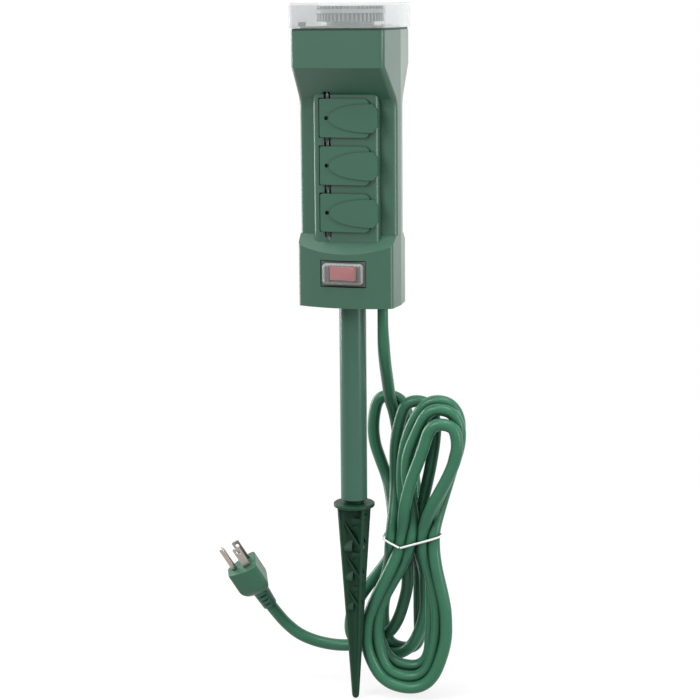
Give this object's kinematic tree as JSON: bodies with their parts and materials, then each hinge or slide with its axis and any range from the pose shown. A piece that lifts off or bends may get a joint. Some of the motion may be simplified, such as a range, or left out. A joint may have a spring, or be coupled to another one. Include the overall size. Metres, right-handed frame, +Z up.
{
  "type": "garden socket spike",
  "caption": "Outdoor power stake: covered outlets on both sides of a slim mast, dial timer under a clear hinged lid, lit switch, ground spike and a tied supply cord.",
  "frame": {"origin": "tip of the ground stake", "axes": "+Z up the stake and pole to the clear cover, -Y out of the front with the lit switch, +X to the side where the cord comes out"},
  "size_m": [0.2117, 0.099, 0.581],
  "materials": {
    "housing_green": "moulded, fine grain",
    "pole_green": "satin paint",
    "stake_green": "moulded",
    "flap_green": "moulded, satin",
    "outlet_black": "moulded",
    "clear_plastic": "clear plastic, slightly hazy",
    "clear_boot": "clear soft plastic",
    "gasket_rubber": "soft",
    "deck_green": "moulded",
    "dial_white": "moulded",
    "gear_white": "moulded",
    "steel": "drawn wire and rod",
    "steel_plate": "zinc plated sheet",
    "switch_black": "moulded",
    "rocker_red": "clear red",
    "lamp_glass": "neon lamp",
    "brass_strip": "pressed strip",
    "tie_white": "coated wire",
    "cord_green": "flexible sheath, satin",
    "plug_green": "moulded, satin",
    "plug_metal": "nickel plated"
  },
  "bodies": {
    "mast": {"housing_front": "housing_green", "housing_rear": "housing_green", "housing_screws": "steel", "timer_deck": "deck_green", "cover_gasket": "gasket_rubber", "cover_hinge_pin": "steel", "timer_motor": "steel_plate", "timer_frame": "steel_plate", "timer_switch": "switch_black", "dial_pointer": "dial_white", "outlet_face_front_1": "outlet_black", "outlet_face_front_2": "outlet_black", "outlet_face_front_3": "outlet_black", "outlet_face_rear_1": "outlet_black", "outlet_face_rear_2": "outlet_black", "outlet_face_rear_3": "outlet_black", "hinge_rod_front": "steel", "hinge_rod_rear": "steel", "flap_springs_front": "steel", "flap_springs_rear": "steel", "neutral_bus": "brass_strip", "line_bus": "brass_strip", "ground_bus": "brass_strip", "switch_bezel": "switch_black", "switch_body": "switch_black", "switch_boot": "clear_boot", "switch_lamp": "lamp_glass", "pole": "pole_green", "pole_socket": "pole_green", "stake": "stake_green", "cord_grommet": "plug_green", "cord_lead": "cord_green", "cord_hank": "cord_green", "cord_tail": "cord_green", "cord_tie": "tie_white", "plug_body": "plug_green", "plug_blades": "plug_metal", "plug_ground_pin": "plug_metal"},
    "lid": {"clear_cover": "clear_plastic"},
    "dial": {"timer_dial": "dial_white", "dial_gear": "gear_white"},
    "reduction": {"reduction_gear": "gear_white"},
    "rotor": {"motor_pinion": "gear_white"},
    "mode_knob": {"mode_slide": "switch_black"},
    "rocker": {"switch_rocker": "rocker_red"},
    "pins_night": {"trippers_night": "dial_white"},
    "pins_morning": {"trippers_morning": "dial_white"},
    "pins_afternoon": {"trippers_afternoon": "dial_white"},
    "pins_evening": {"trippers_evening": "dial_white"},
    "flap_front_1": {"outlet_flap_front_1": "flap_green"},
    "flap_front_2": {"outlet_flap_front_2": "flap_green"},
    "flap_front_3": {"outlet_flap_front_3": "flap_green"},
    "flap_rear_1": {"outlet_flap_rear_1": "flap_green"},
    "flap_rear_2": {"outlet_flap_rear_2": "flap_green"},
    "flap_rear_3": {"outlet_flap_rear_3": "flap_green"}
  },
  "joints": [
    {"name": "lid_hinge", "type": "hinge", "parent": "mast", "child": "lid", "pos_m": [0, 0.0452, 0.5605], "axis": [-1, 0, 0], "range_deg": [0, 105]},
    {"name": "dial_turn", "type": "hinge", "parent": "mast", "child": "dial", "pos_m": [0, 0, 0.566], "axis": [0, 0, 1], "continuous": true},
    {"name": "reduction_turn", "type": "hinge", "parent": "mast", "child": "reduction", "pos_m": [0, 0.0202, 0.542], "axis": [0, 0, 1], "continuous": true},
    {"name": "rotor_turn", "type": "hinge", "parent": "mast", "child": "rotor", "pos_m": [-0.01748, 0.01384, 0.542], "axis": [0, 0, 1], "continuous": true},
    {"name": "pins_night_press", "type": "slide", "parent": "dial", "child": "pins_night", "axis": [0, 0, -1], "range_m": [0, 0.0022]},
    {"name": "pins_morning_press", "type": "slide", "parent": "dial", "child": "pins_morning", "axis": [0, 0, -1], "range_m": [0, 0.0022]},
    {"name": "pins_afternoon_press", "type": "slide", "parent": "dial", "child": "pins_afternoon", "axis": [0, 0, -1], "range_m": [0, 0.0022]},
    {"name": "pins_evening_press", "type": "slide", "parent": "dial", "child": "pins_evening", "axis": [0, 0, -1], "range_m": [0, 0.0022]},
    {"name": "mode_slide", "type": "slide", "parent": "mast", "child": "mode_knob", "axis": [1, 0, 0], "range_m": [0, 0.0044]},
    {"name": "rocker_tilt", "type": "hinge", "parent": "mast", "child": "rocker", "pos_m": [0, -0.022, 0.3678], "axis": [0, 0, 1], "range_deg": [0, 16]},
    {"name": "flap_front_1_hinge", "type": "hinge", "parent": "mast", "child": "flap_front_1", "pos_m": [-0.0147, -0.0172, 0.4911], "axis": [0, 0, -1], "range_deg": [0, 100], "stiffness_Nm_per_rad": 0.006, "springref_deg": -20.05},
    {"name": "flap_front_2_hinge", "type": "hinge", "parent": "mast", "child": "flap_front_2", "pos_m": [-0.0147, -0.0172, 0.4535], "axis": [0, 0, -1], "range_deg": [0, 100], "stiffness_Nm_per_rad": 0.006, "springref_deg": -20.05},
    {"name": "flap_front_3_hinge", "type": "hinge", "parent": "mast", "child": "flap_front_3", "pos_m": [-0.0147, -0.0172, 0.4159], "axis": [0, 0, -1], "range_deg": [0, 100], "stiffness_Nm_per_rad": 0.006, "springref_deg": -20.05},
    {"name": "flap_rear_1_hinge", "type": "hinge", "parent": "mast", "child": "flap_rear_1", "pos_m": [0.0147, 0.0172, 0.4911], "axis": [0, 0, -1], "range_deg": [0, 100], "stiffness_Nm_per_rad": 0.006, "springref_deg": -20.05},
    {"name": "flap_rear_2_hinge", "type": "hinge", "parent": "mast", "child": "flap_rear_2", "pos_m": [0.0147, 0.0172, 0.4535], "axis": [0, 0, -1], "range_deg": [0, 100], "stiffness_Nm_per_rad": 0.006, "springref_deg": -20.05},
    {"name": "flap_rear_3_hinge", "type": "hinge", "parent": "mast", "child": "flap_rear_3", "pos_m": [0.0147, 0.0172, 0.4159], "axis": [0, 0, -1], "range_deg": [0, 100], "stiffness_Nm_per_rad": 0.006, "springref_deg": -20.05}
  ],
  "couplings": [
    {"joint": "reduction_turn", "follows": "dial_turn", "ratio": -4},
    {"joint": "rotor_turn", "follows": "dial_turn", "ratio": 14.4}
  ]
}
